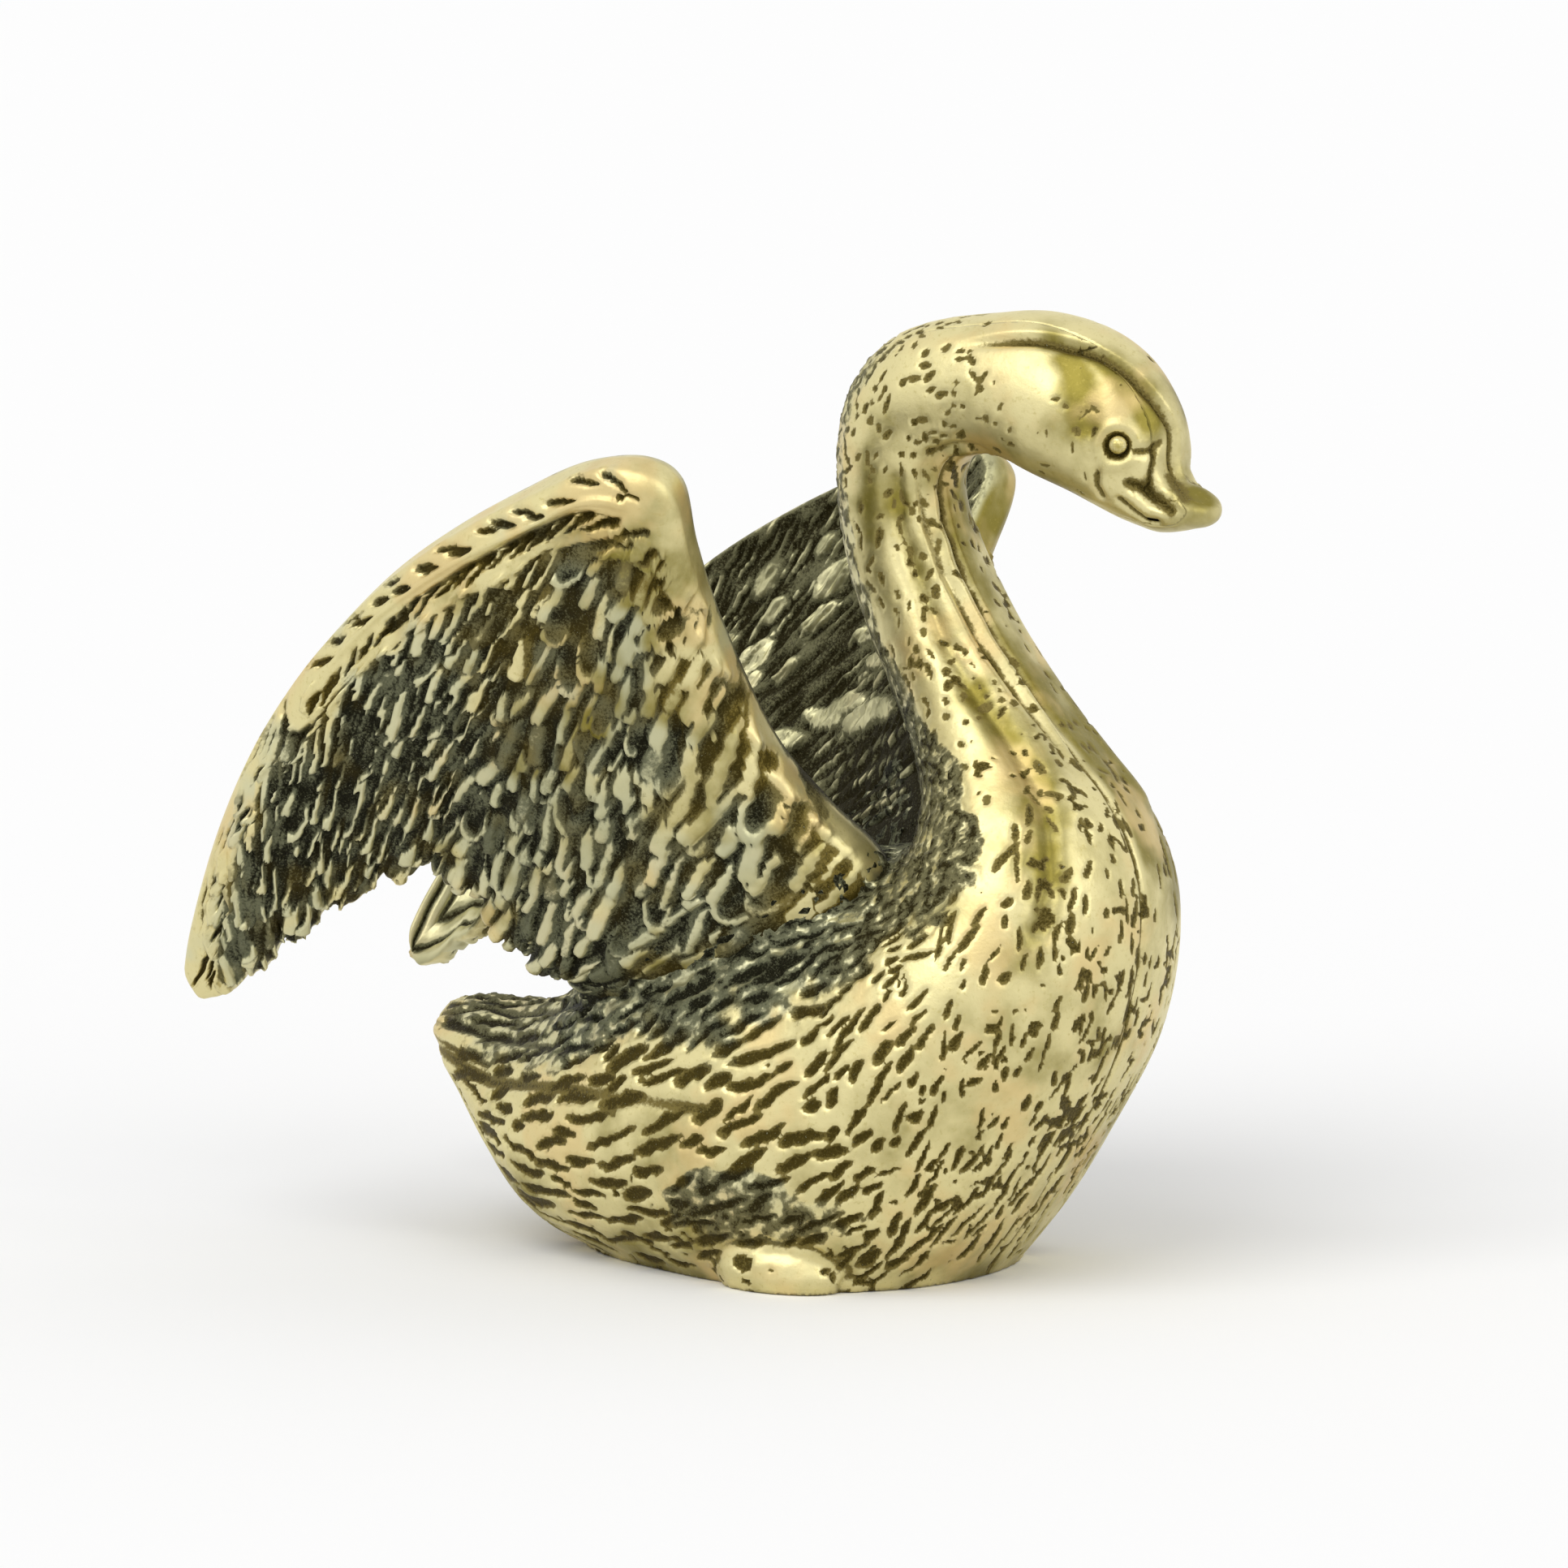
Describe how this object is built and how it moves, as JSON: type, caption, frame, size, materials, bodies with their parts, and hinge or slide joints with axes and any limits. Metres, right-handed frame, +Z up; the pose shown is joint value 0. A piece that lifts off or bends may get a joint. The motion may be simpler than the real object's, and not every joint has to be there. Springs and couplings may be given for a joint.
{
  "type": "swan figurine",
  "caption": "Palm-size cast brass swan ornament with raised wings and a curved neck, standing on a flat base.",
  "frame": {"origin": "on the flat base, under the middle of the body, in the plane of the moulding seam", "axes": "+X the way the swan faces, +Y to the swan's left, +Z up"},
  "size_m": [0.0469, 0.0319, 0.0421],
  "materials": {
    "cast_brass": "polished cast brass with dark patina in the recesses",
    "pin_brass": "drawn",
    "base_brass": "ground and patinated"
  },
  "bodies": {
    "root": {"right_body_shell": "cast_brass", "left_body_shell": "cast_brass", "right_wing": "cast_brass", "left_wing": "cast_brass", "right_eye_bead": "cast_brass", "left_eye_bead": "cast_brass", "right_wing_front_pin": "pin_brass", "right_wing_rear_pin": "pin_brass", "left_wing_front_pin": "pin_brass", "left_wing_rear_pin": "pin_brass", "tail_dowel": "pin_brass", "breast_dowel": "pin_brass", "neck_dowel": "pin_brass", "base_plate": "base_brass"}
  },
  "joints": []
}
